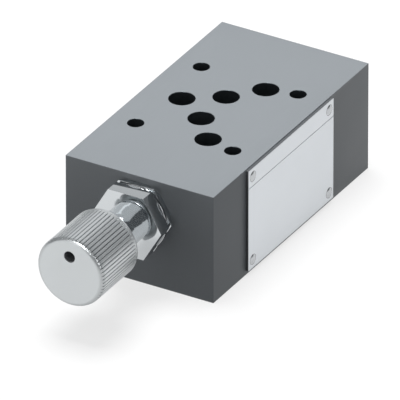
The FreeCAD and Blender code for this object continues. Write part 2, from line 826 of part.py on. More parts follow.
flange_seal_middle = f"{FLANGE_RECESS_DEPTH} / 2"
nose_seal_middle = f"({NOSE_GROOVE_END} - seal_gap - nose_seal_cord / 2)"
housing_seal_middle = "(housing_spigot_length - 1.5 * housing_seal_cord - seal_gap)"
piston_seal_middle = f"({PISTON_BACK} - piston_length / 2)"

sub_parts = [
    make_valve_block(),
    make_port_seals(),
    make_cartridge_body(),
    seal_ring("flange_o_ring", "neck_relief_radius + seal_gap", "flange_seal_cord", flange_seal_middle),
    seal_ring("nose_o_ring", f"{NOSE_GROOVE_FLOOR} + seal_gap", "nose_seal_cord", nose_seal_middle),
    make_backup_ring(),
    make_valve_seat(),
    make_poppet(),
    make_spring_plate(),
    make_pressure_spring(),
    make_spring_housing(),
    make_sealing_washer(),
    seal_ring("housing_o_ring", f"{HOUSING_GROOVE_FLOOR} + seal_gap", "housing_seal_cord", housing_seal_middle),
    make_setting_piston(),
    seal_ring("piston_o_ring", f"{PISTON_GROOVE_FLOOR} + seal_gap", "piston_seal_cord", piston_seal_middle),
    make_thrust_ball(),
    make_spindle(),
    make_stop_ring(),
    make_knob(),
    make_grub_screw(),
    make_name_plate(),
    make_plate_rivets(),
]
doc.recompute()

for item in doc.Objects:
    if "Invalid" in item.State or "Error" in item.State:
        raise RuntimeError(f"{item.Label} is not built: {item.State}")

for sub_part in sub_parts:
    if sub_part.Shape.isNull() or not sub_part.Shape.isValid():
        raise RuntimeError(f"{sub_part.Label} has no sound shape")

os.makedirs("parts", exist_ok=True)
for sub_part in sub_parts:
    sub_part.Shape.exportStep(f"parts/{sub_part.Label}.step")
    box = sub_part.Shape.BoundBox
    print(f"{sub_part.Label}: {len(sub_part.Shape.Solids)} solid, {sub_part.Shape.Volume:.1f} mm3, "
          f"Y {box.YMin:.2f} to {box.YMax:.2f}, Z {box.ZMin:.2f} to {box.ZMax:.2f}")
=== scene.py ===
import json
import math

import bmesh
import bpy
from mathutils import Matrix, Vector


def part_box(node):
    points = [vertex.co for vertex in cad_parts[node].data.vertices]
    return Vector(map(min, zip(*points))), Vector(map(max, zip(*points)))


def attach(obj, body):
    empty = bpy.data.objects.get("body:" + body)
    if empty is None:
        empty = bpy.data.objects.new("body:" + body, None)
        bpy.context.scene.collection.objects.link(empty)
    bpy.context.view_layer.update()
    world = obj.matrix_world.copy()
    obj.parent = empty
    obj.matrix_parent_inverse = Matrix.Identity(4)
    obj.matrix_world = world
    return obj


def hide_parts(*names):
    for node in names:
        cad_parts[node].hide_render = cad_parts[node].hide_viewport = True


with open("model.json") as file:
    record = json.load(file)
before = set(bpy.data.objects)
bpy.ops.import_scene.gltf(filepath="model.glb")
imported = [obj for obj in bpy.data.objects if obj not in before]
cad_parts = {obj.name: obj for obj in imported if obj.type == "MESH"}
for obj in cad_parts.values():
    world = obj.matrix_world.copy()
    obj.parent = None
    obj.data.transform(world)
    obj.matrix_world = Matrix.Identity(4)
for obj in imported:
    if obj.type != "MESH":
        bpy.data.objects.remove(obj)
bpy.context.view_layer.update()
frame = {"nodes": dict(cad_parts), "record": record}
nodes = frame["nodes"]

# Sizes in metres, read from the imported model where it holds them
MM = 0.001
BLOCK_LOW, BLOCK_HIGH = (Vector(corner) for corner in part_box("valve_block"))
PLATE_LOW, PLATE_HIGH = (Vector(corner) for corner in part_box("name_plate"))
KNOB_LOW, KNOB_HIGH = (Vector(corner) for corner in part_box("knob"))
RIVETS_LOW, RIVETS_HIGH = (Vector(corner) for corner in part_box("plate_rivets"))
SEALS_LOW, SEALS_HIGH = (Vector(corner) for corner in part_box("port_o_rings"))
WASHER_LOW, WASHER_HIGH = (Vector(corner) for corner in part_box("sealing_washer"))
HOUSING_LOW, HOUSING_HIGH = (Vector(corner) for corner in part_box("spring_housing"))
CARTRIDGE_LOW, CARTRIDGE_HIGH = (Vector(corner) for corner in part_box("cartridge_body"))
SCREW_LOW, SCREW_HIGH = (Vector(corner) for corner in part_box("knob_grub_screw"))
AXIS_X = (KNOB_LOW.x + KNOB_HIGH.x) / 2
AXIS_Z = (WASHER_LOW.z + WASHER_HIGH.z) / 2
FRONT = BLOCK_LOW.y
MOUNTS = {mount["name"]: mount for mount in frame["record"]["mounts"]}
PORTS = [Vector(MOUNTS[f"port_{letter}"]["pos_m"]) for letter in ("p", "a", "b", "t", "t1")]
PORT_RADIUS = MOUNTS["port_p"]["dims"]["r_mm"] * MM
BOLT_SPAN_X = MOUNTS["top_bolts"]["dims"]["spacing_x_mm"] * MM
BOLT_SPAN_Y = MOUNTS["top_bolts"]["dims"]["spacing_y_mm"] * MM
BOLT_RADIUS = MOUNTS["top_bolts"]["dims"]["hole_r_mm"] * MM

ROUND_STEPS = 144
EDGE_BREAK = 0.15 * MM
HEX_CORNER = (HOUSING_HIGH.x - HOUSING_LOW.x) / 2
HEX_FLATS = HEX_CORNER * math.sqrt(3)
KNOB_RADIUS = 15.6 * MM
KNOB_ROUNDING = 2.0 * MM
VALLEY_DEPTH = 0.65 * MM
RIDGE_COUNT = 60.0
RIDGE_TAPER = 0.8 * MM
RIDGE_REAR = KNOB_HIGH.y - 1.3 * MM
FACE_HOLE_RADIUS = 2.5 * MM
FACE_HOLE_OFFSET = 7.6 * MM
FACE_HOLE_DEPTH = 8 * MM
RIVET_RADIUS = 2.3 * MM
RIVET_HOLE_RADIUS = 1.55 * MM
SEAL_SEAT_WIDTH = 2.4 * MM
SEAL_SEAT_DEPTH = 1.4 * MM
PLATE_LINE_DROP = 8.3 * MM
PLATE_LINE_WIDTH = 0.35 * MM
PLATE_LINE_DEPTH = 0.2 * MM


class Wire:
    """One output of a node tree. Arithmetic on it adds Math nodes to the tree."""

    kind = "ShaderNodeMath"

    def __init__(self, tree, socket):
        self.tree = tree
        self.socket = socket

    def math(self, operation, *others):
        node = self.tree.nodes.new(self.kind)
        node.operation = operation
        for place, value in enumerate((self, *others)):
            feed(self.tree, node.inputs[place], value)
        return type(self)(self.tree, node.outputs[0])

    def swapped(self, operation, other):
        node = self.tree.nodes.new(self.kind)
        node.operation = operation
        feed(self.tree, node.inputs[0], other)
        feed(self.tree, node.inputs[1], self)
        return type(self)(self.tree, node.outputs[0])

    def __add__(self, other):
        return self.math("ADD", other)

    def __radd__(self, other):
        return self.swapped("ADD", other)

    def __sub__(self, other):
        return self.math("SUBTRACT", other)

    def __rsub__(self, other):
        return self.swapped("SUBTRACT", other)

    def __mul__(self, other):
        return self.math("MULTIPLY", other)

    def __rmul__(self, other):
        return self.swapped("MULTIPLY", other)

    def __truediv__(self, other):
        return self.math("DIVIDE", other)

    def clamped(self):
        return self.math("MAXIMUM", 0.0).math("MINIMUM", 1.0)


def feed(tree, socket, value):
    """Link a wire or a node's output to a socket, or set the socket's own value."""
    if isinstance(value, Wire):
        tree.links.new(value.socket, socket)
    elif isinstance(value, bpy.types.NodeSocket):
        tree.links.new(value, socket)
    else:
        socket.default_value = value


def add_node(tree, kind, settings=None, **inputs):
    """Add a node: its settings come first, then the values or links of its sockets."""
    node = tree.nodes.new(kind)
    for name, value in (settings or {}).items():
        setattr(node, name, value)
    for name, value in inputs.items():
        feed(tree, node.inputs[name.replace("_", " ")], value)
    return node


# Materials

class Finish:
    """A material with its Principled shader, and wires for the place on the surface."""

    def __init__(self, name, colour, roughness, metallic=0.0):
        self.material = bpy.data.materials.new(name)
        self.material.use_nodes = True
        self.tree = self.material.node_tree
        self.shader = self.tree.nodes["Principled BSDF"]
        self.colour = colour
        self.shader.inputs["Base Color"].default_value = (*colour, 1.0)
        self.shader.inputs["Roughness"].default_value = roughness
        self.shader.inputs["Metallic"].default_value = metallic
        place = add_node(self.tree, "ShaderNodeTexCoord")
        self.place = place.outputs["Object"]

    def node(self, kind, settings=None, **inputs):
        return add_node(self.tree, kind, settings, **inputs)

    def axes(self, centre=(0.0, 0.0, 0.0)):
        """Wires for X, Y and Z, measured from a centre."""
        moved = self.node("ShaderNodeMapping", {"vector_type": "POINT"}, Vector=self.place)
        moved.inputs["Location"].default_value = [-value for value in centre]
        split = self.node("ShaderNodeSeparateXYZ", Vector=moved.outputs[0])
        return [Wire(self.tree, split.outputs[letter]) for letter in "XYZ"]

    def stretched(self, scale):
        return self.node("ShaderNodeMapping", Vector=self.place, Scale=scale).outputs[0]

    def noise(self, scale, detail=2.0, stretch=None):
        """A soft random value from 0 to 1, with its features 1 / scale metres wide."""
        where = self.stretched(stretch) if stretch else self.place
        made = self.node("ShaderNodeTexNoise", Vector=where, Scale=scale, Detail=detail)
        return Wire(self.tree, made.outputs[0])

    def shade(self, amount):
        """The base colour, darker or lighter by an amount that a wire gives."""
        mix = self.node("ShaderNodeVectorMath", {"operation": "SCALE"})
        mix.inputs[0].default_value = self.colour
        feed(self.tree, mix.inputs["Scale"], amount)
        feed(self.tree, self.shader.inputs["Base Color"], mix.outputs[0])

    def rough(self, amount):
        feed(self.tree, self.shader.inputs["Roughness"], amount)

    def bump(self, height, distance, strength=1.0):
        made = self.node("ShaderNodeBump", Height=height, Distance=distance, Strength=strength)
        feed(self.tree, self.shader.inputs["Normal"], made.outputs[0])


def block_finish():
    """Grey phosphated iron with a ground grain along the block."""
    paint = Finish("block_iron", (0.136, 0.147, 0.156), 0.42)
    paint.shader.inputs["Specular IOR Level"].default_value = 0.3
    grain = paint.noise(900.0, 3.0, (1.0, 0.06, 1.0))
    cloud = paint.noise(45.0, 2.0)
    speck = paint.noise(3200.0, 1.0)
    paint.shade(0.93 + 0.06 * grain + 0.06 * cloud + 0.03 * speck)
    paint.rough(0.36 + 0.12 * cloud + 0.05 * grain)
    paint.bump(grain * 0.6 + speck * 0.4, 0.00002, 0.35)
    return paint.material


def bore_shade_finish():
    """Walls of the ports, the bolt holes and the cavity, with a dark base colour as painted shade down in
    the holes.
    """
    paint = Finish("bore_iron", (0.055, 0.065, 0.072), 0.26, 0.8)
    rings = paint.axes()[2] * 9000.0
    paint.shade(0.8 + 0.5 * paint.noise(500.0))
    paint.rough(0.3 + 0.25 * paint.noise(120.0))
    paint.bump(rings.math("SINE"), 0.00001, 0.4)
    return paint.material


def hole_shade_finish():
    """Wall of the hole in the knob's face, with a darker base colour than the knob as painted shade down in
    the hole.
    """
    paint = Finish("drilled_aluminium", (0.24, 0.25, 0.255), 0.5)
    rings = paint.axes()[1] * 7000.0
    paint.shade(0.85 + 0.3 * paint.noise(600.0))
    paint.rough(0.42 + 0.16 * paint.noise(300.0))
    paint.bump(rings.math("SINE"), 0.00001, 0.3)
    return paint.material


def turned_finish(name, colour, roughness, pitch, strength, metallic=1.0):
    """Metal turned about the cartridge axis, with fine rings on its sides and its ends."""
    paint = Finish(name, colour, roughness, metallic)
    across, along, up = paint.axes((AXIS_X, 0.0, AXIS_Z))
    radius = (across * across + up * up).math("SQRT")
    wander = paint.noise(220.0) * 0.6
    rings = ((radius + along) * (math.tau / pitch) + wander).math("SINE")
    cloud = paint.noise(70.0)
    paint.shade(0.95 + 0.05 * cloud + 0.02 * rings)
    paint.rough(roughness * 0.8 + roughness * 0.5 * cloud)
    paint.bump(rings, 0.000002, strength)
    return paint.material


def plate_finish():
    """Matt anodised sheet with a faint brushed grain along it."""
    paint = Finish("plate_aluminium", (0.665, 0.69, 0.715), 0.44, 1.0)
    grain = paint.noise(2400.0, 2.0, (1.0, 0.02, 1.0))
    cloud = paint.noise(60.0)
    paint.shade(0.95 + 0.05 * grain + 0.04 * cloud)
    paint.rough(0.42 + 0.12 * grain)
    paint.bump(grain, 0.000008, 0.3)
    return paint.material


def rubber_finish():
    """Black seal rubber with a dull sheen."""
    paint = Finish("seal_rubber", (0.016, 0.016, 0.017), 0.55)
    speck = paint.noise(2600.0)
    paint.shade(0.8 + 0.6 * speck)
    paint.rough(0.5 + 0.15 * speck)
    paint.bump(speck, 0.00001, 0.4)
    paint.shader.inputs["Sheen Weight"].default_value = 0.15
    return paint.material


def plastic_finish():
    """Off-white plastic of the backup ring."""
    paint = Finish("backup_plastic", (0.78, 0.78, 0.75), 0.4)
    paint.shade(0.94 + 0.08 * paint.noise(900.0))
    paint.rough(0.36 + 0.1 * paint.noise(300.0))
    return paint.material


def knob_finish():
    """Matt bright aluminium, with painted shade down in the valleys and round the front rim."""
    paint = Finish("knob_aluminium", (0.60, 0.625, 0.635), 0.3, 0.85)
    across, along, up = paint.axes((AXIS_X, 0.0, AXIS_Z))
    radius = (across * across + up * up).math("SQRT")
    # Painted shade: the base colour is darkened down in the valleys between the ridges.
    turned_off = (KNOB_RADIUS - radius) * (1 / VALLEY_DEPTH)
    outer = radius.math("GREATER_THAN", KNOB_RADIUS - VALLEY_DEPTH * 1.1)
    middle = ((along - (KNOB_LOW.y + 1.8 * MM)) * 1000.0).clamped()
    valley = turned_off.clamped() * middle * outer
    cloud = paint.noise(70.0)
    speck = paint.noise(2800.0)
    # Painted shade: the base colour is darkened round the rounded front rim.
    rim = ((radius - 13.7 * MM) * 1000.0).clamped() * (1.0 - middle)
    paint.shade((0.94 + 0.06 * cloud + 0.03 * speck) * (1.0 - 0.3 * valley) * (1.0 - 0.22 * rim))
    paint.rough(0.28 + 0.05 * cloud + 0.04 * speck)
    paint.bump(speck, 0.000003, 0.2)
    return paint.material


def edge_finish():
    """Edges of the name plate, given a dark colour."""
    paint = Finish("plate_edge", (0.075, 0.08, 0.085), 0.5, 0.3)
    grain = paint.noise(3000.0, 2.0, (0.1, 1.0, 1.0))
    paint.shade(0.85 + 0.3 * grain)
    paint.rough(0.42 + 0.16 * grain)
    paint.bump(grain, 0.00001, 0.3)
    return paint.material


FINISHES = {
    "plate_edge": edge_finish(),
    "block_iron": block_finish(),
    "bore_iron": bore_shade_finish(),
    "drilled_aluminium": hole_shade_finish(),
    "zinc_steel": turned_finish("zinc_steel", (0.60, 0.625, 0.64), 0.08, 0.22 * MM, 0.004),
    "washer_steel": turned_finish("washer_steel", (0.36, 0.37, 0.38), 0.12, 0.2 * MM, 0.015),
    "knob_aluminium": knob_finish(),
    "rivet_steel": turned_finish("rivet_steel", (0.50, 0.515, 0.53), 0.2, 0.3 * MM, 0.1),
    "hard_steel": turned_finish("hard_steel", (0.58, 0.59, 0.6), 0.16, 0.1 * MM, 0.1),
    "spring_steel": turned_finish("spring_steel", (0.34, 0.35, 0.36), 0.34, 0.4 * MM, 0.2),
    "black_steel": turned_finish("black_steel", (0.03, 0.03, 0.032), 0.36, 0.2 * MM, 0.2, 0.6),
    "plate_aluminium": plate_finish(),
    "seal_rubber": rubber_finish(),
    "backup_plastic": plastic_finish(),
}


# Meshes

def link_piece(name, mesh, body, slot, replaced=(), sharp_angle=32.0):
    """Put a mesh in the scene as a finished piece of the object."""
    for polygon in mesh.polygons:
        polygon.use_smooth = True
    mesh.set_sharp_from_angle(angle=math.radians(sharp_angle))
    piece = bpy.data.objects.new(name, mesh)
    bpy.context.scene.collection.objects.link(piece)
    if not mesh.materials:
        mesh.materials.append(FINISHES[slot])
    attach(piece, body)
    for node in replaced:
        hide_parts(node)
    return piece


def softened(corners):
    """Points of a profile in which each corner (radius, along, rounding) becomes a short arc."""
    points = []
    count = len(corners)
    for place, corner in enumerate(corners):
        here = Vector(corner[:2])
        rounding = corner[2] if len(corner) > 2 else EDGE_BREAK
        before = Vector(corners[place - 1][:2]) - here
        after = Vector(corners[(place + 1) % count][:2]) - here
        if rounding == 0 or place in (0, count - 1):
            points.append(here)
            continue
        half = before.angle(after) / 2
        if half > math.radians(88):
            points.append(here)
            continue
        reach = min(rounding / math.tan(half), before.length * 0.49, after.length * 0.49)
        radius = reach * math.tan(half)
        middle = here + (before.normalized() + after.normalized()).normalized() * radius / math.sin(half)
        start = here + before.normalized() * reach - middle
        sweep = start.angle_signed(here + after.normalized() * reach - middle)
        steps = max(2, min(16, round(radius / (0.12 * MM))))
        for step in range(steps + 1):
            turned = start.copy()
            turned.rotate(Matrix.Rotation(-sweep * step / steps, 2))
            points.append(middle + turned)
    return points


def lathe(mesh_name, points, steps=ROUND_STEPS, closed=False, centre=None):
    """Turn a profile of (radius, along) about the cartridge axis."""
    centre = centre or Vector((AXIS_X, 0.0, AXIS_Z))
    shape = bmesh.new()
    rings = []
    for radius, along in points:
        if radius < 1e-7:
            rings.append([shape.verts.new((centre.x, along, centre.z))])
            continue
        ring = []
        for step in range(steps):
            turn = math.tau * step / steps
            ring.append(shape.verts.new((centre.x + radius * math.sin(turn), along,
                                         centre.z + radius * math.cos(turn))))
        rings.append(ring)
    pairs = list(zip(rings, rings[1:]))
    if closed:
        pairs.append((rings[-1], rings[0]))
    for first, second in pairs:
        for step in range(steps):
            following = (step + 1) % steps
            corners = [first[step % len(first)], first[following % len(first)],
                       second[following % len(second)], second[step % len(second)]]
            corners = list(dict.fromkeys(corners))
            if len(corners) > 2:
                shape.faces.new(corners)
    return to_mesh(mesh_name, shape)


def to_mesh(mesh_name, shape):
    """A mesh of a shape, with its faces turned outwards."""
    bmesh.ops.recalc_face_normals(shape, faces=shape.faces)
    mesh = bpy.data.meshes.new(mesh_name)
    shape.to_mesh(mesh)
    shape.free()
    return mesh


def plain_box(mesh_name, low, high, edge=0.0):
    """A box between two corners, with its edges broken by a small rounding."""
    shape = bmesh.new()
    bmesh.ops.create_cube(shape, size=1.0)
    for vertex in shape.verts:
        spot = [low[axis] + (vertex.co[axis] + 0.5) * (high[axis] - low[axis]) for axis in range(3)]
        vertex.co = Vector(spot)
    if edge:
        bmesh.ops.bevel(shape, geom=shape.edges[:], offset=edge, segments=3, profile=0.5, affect="EDGES")
    return to_mesh(mesh_name, shape)


def prism(mesh_name, corners, start, end, edge):
    """A prism along Y over corners in X and Z, with its end edges broken."""
    shape = bmesh.new()
    first = [shape.verts.new((x, start, z)) for x, z in corners]
    second = [shape.verts.new((x, end, z)) for x, z in corners]
    count = len(corners)
    shape.faces.new(first)
    shape.faces.new(second[::-1])
    for step in range(count):
        following = (step + 1) % count
        shape.faces.new((first[following], first[step], second[step], second[following]))
    if edge:
        bmesh.ops.bevel(shape, geom=shape.edges[:], offset=edge, segments=2, profile=0.5, affect="EDGES")
    return to_mesh(mesh_name, shape)


def combined(mesh, steps):
    """A mesh after boolean steps with other meshes, each an (operation, mesh) pair."""
    main = bpy.data.objects.new("blank", mesh)
    bpy.context.scene.collection.objects.link(main)
    tools = []
    for operation, tool_mesh in steps:
        tool = bpy.data.objects.new("tool", tool_mesh)
        bpy.context.scene.collection.objects.link(tool)
        modifier = main.modifiers.new("step", "BOOLEAN")
        modifier.operation = operation
        modifier.solver = "EXACT"
        modifier.material_mode = "TRANSFER"
        modifier.object = tool
        tools.append(tool)
    bpy.context.view_layer.update()
    made = bpy.data.meshes.new_from_object(main.evaluated_get(bpy.context.evaluated_depsgraph_get()))
    for leftover in (main, *tools):
        bpy.data.objects.remove(leftover)
    return made


def upright(mesh_name, points, x, y, finish=None):
    """A cutter or ring turned about a vertical line through (x, y), from (radius, height) points."""
    mesh = lathe(mesh_name, points, steps=96, centre=Vector((0.0, 0.0, 0.0)))
    mesh.transform(Matrix.Translation((x, y, 0.0)) @ Matrix.Rotation(math.radians(90), 4, "X"))
    if finish:
        mesh.materials.append(finish)
    return mesh


# Geometry trees for what repeats

class Place(Wire):
    """One number of a geometry tree."""


def new_tree(name, sockets):
    """A geometry tree with named inputs, and its input and output nodes."""
    tree = bpy.data.node_groups.new(name, "GeometryNodeTree")
    tree.interface.new_socket("Geometry", in_out="INPUT", socket_type="NodeSocketGeometry")
    for title, kind in sockets.items():
        tree.interface.new_socket(title, in_out="INPUT", socket_type=kind)
    tree.interface.new_socket("Geometry", in_out="OUTPUT", socket_type="NodeSocketGeometry")
    return tree, tree.nodes.new("NodeGroupInput"), tree.nodes.new("NodeGroupOutput")


def end_tree(tree, start, end, geometry):
    """Close a tree with Realize Instances and Set Material."""
    real = add_node(tree, "GeometryNodeRealizeInstances", Geometry=geometry)
    painted = add_node(tree, "GeometryNodeSetMaterial", Geometry=real.outputs[0],
                       Material=start.outputs["Material"])
    tree.links.new(painted.outputs[0], end.inputs[0])
    return tree


def grown(mesh, tree, values):
    """The plain mesh that a tree makes of a mesh, with its inputs set by their identifiers."""
    holder = bpy.data.objects.new("holder", mesh)
    bpy.context.scene.collection.objects.link(holder)
    modifier = holder.modifiers.new("tree", "NODES")
    modifier.node_group = tree
    for item in tree.interface.items_tree:
        if item.in_out == "INPUT" and item.name in values:
            modifier[item.identifier] = values[item.name]
    bpy.context.view_layer.update()
    made = bpy.data.meshes.new_from_object(holder.evaluated_get(bpy.context.evaluated_depsgraph_get()))
    holder.modifiers.remove(modifier)
    bpy.data.objects.remove(holder)
    return made


def polar_wires(tree, start):
    """Position, along, radius, turn and radial direction about the cartridge axis."""
    spot = tree.nodes.new("GeometryNodeInputPosition")
    split = add_node(tree, "ShaderNodeSeparateXYZ", Vector=spot.outputs[0])
    across = Place(tree, split.outputs["X"]) - start.outputs["Axis X"]
    up = Place(tree, split.outputs["Z"]) - start.outputs["Axis Z"]
    along = Place(tree, split.outputs["Y"])
    radius = (across * across + up * up).math("SQRT")
    turn = across.math("ARCTAN2", up)
    outwards = add_node(tree, "ShaderNodeCombineXYZ", X=across / radius, Z=up / radius)
    return along, radius, turn, outwards


def pushed_out(tree, start, amount, outwards):
    """The geometry with each point moved an amount along its radial direction."""
    shift = add_node(tree, "ShaderNodeVectorMath", {"operation": "SCALE"})
    tree.links.new(outwards.outputs[0], shift.inputs[0])
    feed(tree, shift.inputs["Scale"], amount)
    moved = add_node(tree, "GeometryNodeSetPosition", Geometry=start.outputs["Geometry"])
    tree.links.new(shift.outputs[0], moved.inputs["Offset"])
    return moved.outputs[0]


def ridge_tree():
    """V valleys cut into a turned blank, which leave flat ridges and end before the rear rim."""
    numbers = ("Axis X", "Axis Z", "Ridge Count", "Valley Depth", "Outer Radius", "Rear End", "Rear Taper")
    sockets = {title: "NodeSocketFloat" for title in numbers}
    sockets["Material"] = "NodeSocketMaterial"
    tree, start, end = new_tree("knob ridges", sockets)
    along, radius, turn, outwards = polar_wires(tree, start)
    ridge = (turn * start.outputs["Ridge Count"] * 0.5).math("COSINE").math("ABSOLUTE")
    valley = 1.0 - (ridge * 2.0 - 0.05).clamped()
    rear = ((start.outputs["Rear End"] - along) / start.outputs["Rear Taper"]).clamped()
    limit = start.outputs["Outer Radius"] - valley * rear * start.outputs["Valley Depth"]
    amount = (limit - radius).math("MINIMUM", 0.0)
    return end_tree(tree, start, end, pushed_out(tree, start, amount, outwards))


def thread_tree():
    """A helical thread cut into a turned blank, with its crests left at the blank's radius."""
    numbers = ("Axis X", "Axis Z", "Pitch", "Depth", "Blank Radius", "Start", "End")
    sockets = {title: "NodeSocketFloat" for title in numbers}
    sockets["Material"] = "NodeSocketMaterial"
    tree, start, end = new_tree("cut thread", sockets)
    along, radius, turn, outwards = polar_wires(tree, start)
    phase = (along / start.outputs["Pitch"] - turn * (1 / math.tau)).math("FRACT")
    valley = (1.0 - (phase * 2.0 - 1.0).math("ABSOLUTE") * 1.25).clamped()
    begun = ((along - start.outputs["Start"]) / start.outputs["Pitch"]).clamped()
    ended = ((start.outputs["End"] - along) / start.outputs["Pitch"]).clamped()
    near = (radius - start.outputs["Blank Radius"]).math("ABSOLUTE").math("LESS_THAN", 0.0001)
    amount = valley * begun * ended * near * start.outputs["Depth"] * -1.0
    return end_tree(tree, start, end, pushed_out(tree, start, amount, outwards))


def copies_tree():
    """One piece repeated at every point of a mesh."""
    sockets = {"Piece": "NodeSocketObject", "Material": "NodeSocketMaterial"}
    tree, start, end = new_tree("copies at points", sockets)
    source = add_node(tree, "GeometryNodeObjectInfo", {"transform_space": "ORIGINAL"})
    tree.links.new(start.outputs["Piece"], source.inputs["Object"])
    placed = add_node(tree, "GeometryNodeInstanceOnPoints", Points=start.outputs["Geometry"])
    tree.links.new(source.outputs["Geometry"], placed.inputs["Instance"])
    return end_tree(tree, start, end, placed.outputs[0])


RIDGES = ridge_tree()
THREAD = thread_tree()
COPIES = copies_tree()


def copied(mesh_name, mesh, places, finish):
    """A mesh repeated at places, as one mesh."""
    points = bpy.data.meshes.new("places")
    points.from_pydata([tuple(place) for place in places], [], [])
    source = bpy.data.objects.new("source", mesh)
    bpy.context.scene.collection.objects.link(source)
    made = grown(points, COPIES, {"Piece": source, "Material": finish})
    made.name = mesh_name
    bpy.data.objects.remove(source)
    return made


def with_rings(points, start, end, gap):
    """A profile with extra points along its straight stretch between two places."""
    dense = []
    for first, second in zip(points, points[1:]):
        dense.append(first)
        low, high = sorted((first[1], second[1]))
        if abs(first[0] - second[0]) > 1e-6 or low > end or high < start:
            continue
        count = int((high - low) / gap)
        for step in range(1, count):
            along = first[1] + (second[1] - first[1]) * step / count
            dense.append(Vector((first[0], along)))
    dense.append(points[-1])
    return dense


def threaded(mesh, slot, pitch, radius, start, end):
    """A turned blank with a thread cut into it between two places."""
    depth = pitch * 0.55
    values = {"Axis X": AXIS_X, "Axis Z": AXIS_Z, "Pitch": pitch, "Depth": depth, "Blank Radius": radius,
              "Start": start, "End": end, "Material": FINISHES[slot]}
    return grown(mesh, THREAD, values)


# Pieces

def depths(profile):
    """Profile corners in metres, from (radius, depth inside the front face, rounding) in millimetres."""
    made = []
    for radius, depth, *rounding in profile:
        made.append((radius * MM, FRONT + depth * MM, *(value * MM for value in rounding)))
    return made


CAVITY = [(0, -1), (13.0, -1), (13.0, 2.35), (11.05, 2.35), (11.05, 20), (9.8, 21.25), (9.8, 43.6),
          (7.05, 43.6), (7.05, 48.75), (3.0, 48.75), (3.0, 53.95), (0, 53.95)]
RIVET_PLACES = [Vector((PLATE_HIGH.x, along, up))
                for along in (RIVETS_LOW.y + RIVET_RADIUS, RIVETS_HIGH.y - RIVET_RADIUS)
                for up in (RIVETS_LOW.z + RIVET_RADIUS, RIVETS_HIGH.z - RIVET_RADIUS)]


def sideways(mesh, place):
    """Turn a mesh made about the Y axis so that it points along +X from a place."""
    mesh.transform(Matrix.Translation(place) @ Matrix.Rotation(math.radians(-90), 4, "Z"))
    return mesh


def make_block():
    bore = FINISHES["bore_iron"]
    body = plain_box("valve_block_body", BLOCK_LOW, BLOCK_HIGH, 0.2 * MM)
    body.materials.append(FINISHES["block_iron"])
    top = BLOCK_HIGH.z
    chamfer = 0.12 * MM
    beyond = 1 * MM
    steps = []
    for port in PORTS:
        recess = PORT_RADIUS + SEAL_SEAT_WIDTH
        points = [(0, -beyond), (recess, -beyond), (recess, SEAL_SEAT_DEPTH), (PORT_RADIUS, SEAL_SEAT_DEPTH),
                  (PORT_RADIUS, top - chamfer), (PORT_RADIUS + chamfer + beyond, top + beyond),
                  (0, top + beyond)]
        steps.append(("DIFFERENCE", upright("port", points, port.x, port.y, bore)))
    for x in (-BOLT_SPAN_X / 2, BOLT_SPAN_X / 2):
        for y in (-BOLT_SPAN_Y / 2, BOLT_SPAN_Y / 2):
            wide = BOLT_RADIUS + chamfer + beyond
            points = [(0, -beyond), (wide, -beyond), (BOLT_RADIUS, chamfer), (BOLT_RADIUS, top - chamfer),
                      (wide, top + beyond), (0, top + beyond)]
            steps.append(("DIFFERENCE", upright("bolt_hole", points, x, y, bore)))
    cavity = lathe("cavity", depths(CAVITY), steps=96)
    cavity.materials.append(bore)
    steps.append(("DIFFERENCE", cavity))
    for place in RIVET_PLACES:
        points = [(0, -6.3 * MM), (RIVET_HOLE_RADIUS, -6.3 * MM), (RIVET_HOLE_RADIUS, beyond), (0, beyond)]
        hole = sideways(lathe("rivet_hole", points, steps=32, centre=Vector((0, 0, 0))), place)
        hole.materials.append(bore)
        steps.append(("DIFFERENCE", hole))
    mesh = combined(body, steps)
    return link_piece("valve_block_body", mesh, "base", "block_iron", ["valve_block"])


def hexagon_corners(flats):
    """Corners in X and Z of a hexagon about the cartridge axis, from its width across flats."""
    radius = flats / math.sqrt(3)
    turns = [math.tau * side / 6 for side in range(6)]
    return [(AXIS_X + radius * math.cos(turn), AXIS_Z + radius * math.sin(turn)) for turn in turns]


def make_cartridge():
    slot = "zinc_steel"
    back = FRONT
    front = CARTRIDGE_LOW.y
    head = prism("cartridge_head", hexagon_corners(HEX_FLATS), front, back, 0.1 * MM)
    head.materials.append(FINISHES[slot])
    inner = HEX_FLATS / 2 + 0.3 * MM
    outer = HEX_CORNER + 1 * MM
    cone = [(0, front - MM), (outer, front - MM), (outer, back - (outer - inner)), (inner, back), (0, back)]
    shank = depths([(0, -1), (10.6, -1, 0), (10.6, 2.4, 0.1), (11.0, 2.8, 0.1), (11.0, 19, 0.1),
                    (9.0, 21, 0.3), (9.0, 30, 0.3), (7.0, 32, 0.3), (7.0, 44.75, 0.05), (5.7, 44.75, 0.05),
                    (5.7, 47.3, 0.05), (7.0, 47.3, 0.05), (7.0, 48.2, 0.2), (0, 48.2)])
    dense = with_rings(softened(shank), FRONT + 2.8 * MM, FRONT + 19 * MM, 0.19 * MM)
    screw = lathe("cartridge_shank", dense, steps=96)
    screw = threaded(screw, slot, 1.5 * MM, 11.0 * MM, FRONT + 2.9 * MM, FRONT + 18.9 * MM)
    bore = depths([(0, -4), (8.05, -4), (8.05, 9.3), (5.8, 9.3), (5.8, 28.7), (4.2, 28.7), (4.2, 40.7),
                   (5.0, 40.7), (5.0, 49), (0, 49)])
    inside = lathe("cartridge_bore", bore, steps=96)
    inside.materials.append(FINISHES[slot])
    steps = [("INTERSECT", lathe("cone", cone)), ("UNION", screw), ("DIFFERENCE", inside)]
    for quarter in (0, 1):
        points = [(0, -9 * MM), (1.7 * MM, -9 * MM), (1.7 * MM, 9 * MM), (0, 9 * MM)]
        hole = lathe("outlet_hole", points, steps=32, centre=Vector((0, 0, 0)))
        spin = Matrix.Rotation(math.radians(90), 4, "X" if quarter else "Z")
        hole.transform(Matrix.Translation((AXIS_X, FRONT + 38.1 * MM, AXIS_Z)) @ spin)
        steps.append(("DIFFERENCE", hole))
    mesh = combined(head, steps)
    return link_piece("cartridge_shell", mesh, "base", slot, ["cartridge_body"])


